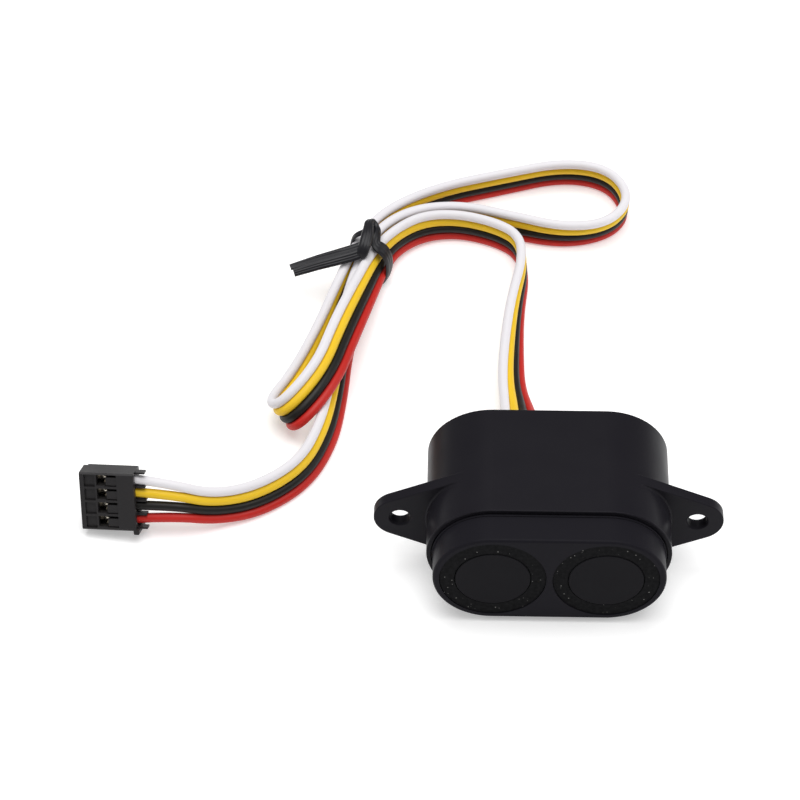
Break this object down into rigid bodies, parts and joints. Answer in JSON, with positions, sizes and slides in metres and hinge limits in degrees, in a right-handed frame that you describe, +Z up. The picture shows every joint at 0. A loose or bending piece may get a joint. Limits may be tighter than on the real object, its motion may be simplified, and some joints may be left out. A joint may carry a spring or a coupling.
{
  "type": "ultrasonic distance sensor",
  "caption": "Ultrasonic distance sensor in a black oblong case with bolt ears, a round transmitter and receiver, and a tied four-wire ribbon lead with a crimp connector.",
  "frame": {"origin": "under the middle of the case, on the surface that its long flat side lies on", "axes": "+X along the case's width, +Y from the front face to the rear cover, +Z up"},
  "size_m": [0.1093, 0.1081, 0.022],
  "materials": {
    "case_plastic": "satin injection-moulded ABS, finely textured",
    "seal_rubber": "smooth black silicone",
    "grommet_rubber": "matte black rubber",
    "sleeve_rubber": "matte black rubber with a grainy surface",
    "can_coating": "matte black coating on an aluminium can",
    "piezo_ceramic": "fired ceramic with a silvered face",
    "damping_foam": "soft open-cell foam",
    "tinned_wire": "bright tin",
    "board_laminate": "green solder mask on glass-fibre laminate",
    "shield_steel": "drawn sheet metal",
    "chip_plastic": "black moulding compound",
    "capacitor_can": "bright aluminium can",
    "ceramic_body": "tan ceramic",
    "resistor_body": "black film on ceramic",
    "wire_ends": "the four coloured cores inside the case",
    "wire_white_pvc": "semi-matte white insulation",
    "wire_yellow_pvc": "semi-matte yellow insulation",
    "wire_black_pvc": "semi-matte black insulation",
    "wire_red_pvc": "semi-matte red insulation",
    "connector_plastic": "black glass-filled nylon",
    "terminal_metal": "tin-plated sprung bronze",
    "tie_plastic": "black ribbed strip over a wire core"
  },
  "bodies": {
    "root": {"housing": "case_plastic", "front_bezel": "case_plastic", "rear_cover": "case_plastic", "bezel_seal": "seal_rubber", "cable_grommet": "grommet_rubber", "left_transducer_sleeve": "sleeve_rubber", "right_transducer_sleeve": "sleeve_rubber", "left_transducer_can": "can_coating", "right_transducer_can": "can_coating", "left_piezo_disc": "piezo_ceramic", "right_piezo_disc": "piezo_ceramic", "left_damping_foam": "damping_foam", "right_damping_foam": "damping_foam", "left_transducer_leads": "tinned_wire", "right_transducer_leads": "tinned_wire", "circuit_board": "board_laminate", "pulse_transformer": "shield_steel", "microcontroller": "chip_plastic", "amplifier_chip": "chip_plastic", "voltage_regulator": "chip_plastic", "crystal": "shield_steel", "electrolytic_capacitors": "capacitor_can", "ceramic_capacitors": "ceramic_body", "resistors": "resistor_body", "solder_joints": "tinned_wire", "inner_wires": "wire_ends", "wire_white": "wire_white_pvc", "wire_yellow": "wire_yellow_pvc", "wire_black": "wire_black_pvc", "wire_red": "wire_red_pvc", "connector_housing": "connector_plastic", "connector_terminals": "terminal_metal", "twist_tie": "tie_plastic"}
  },
  "joints": []
}
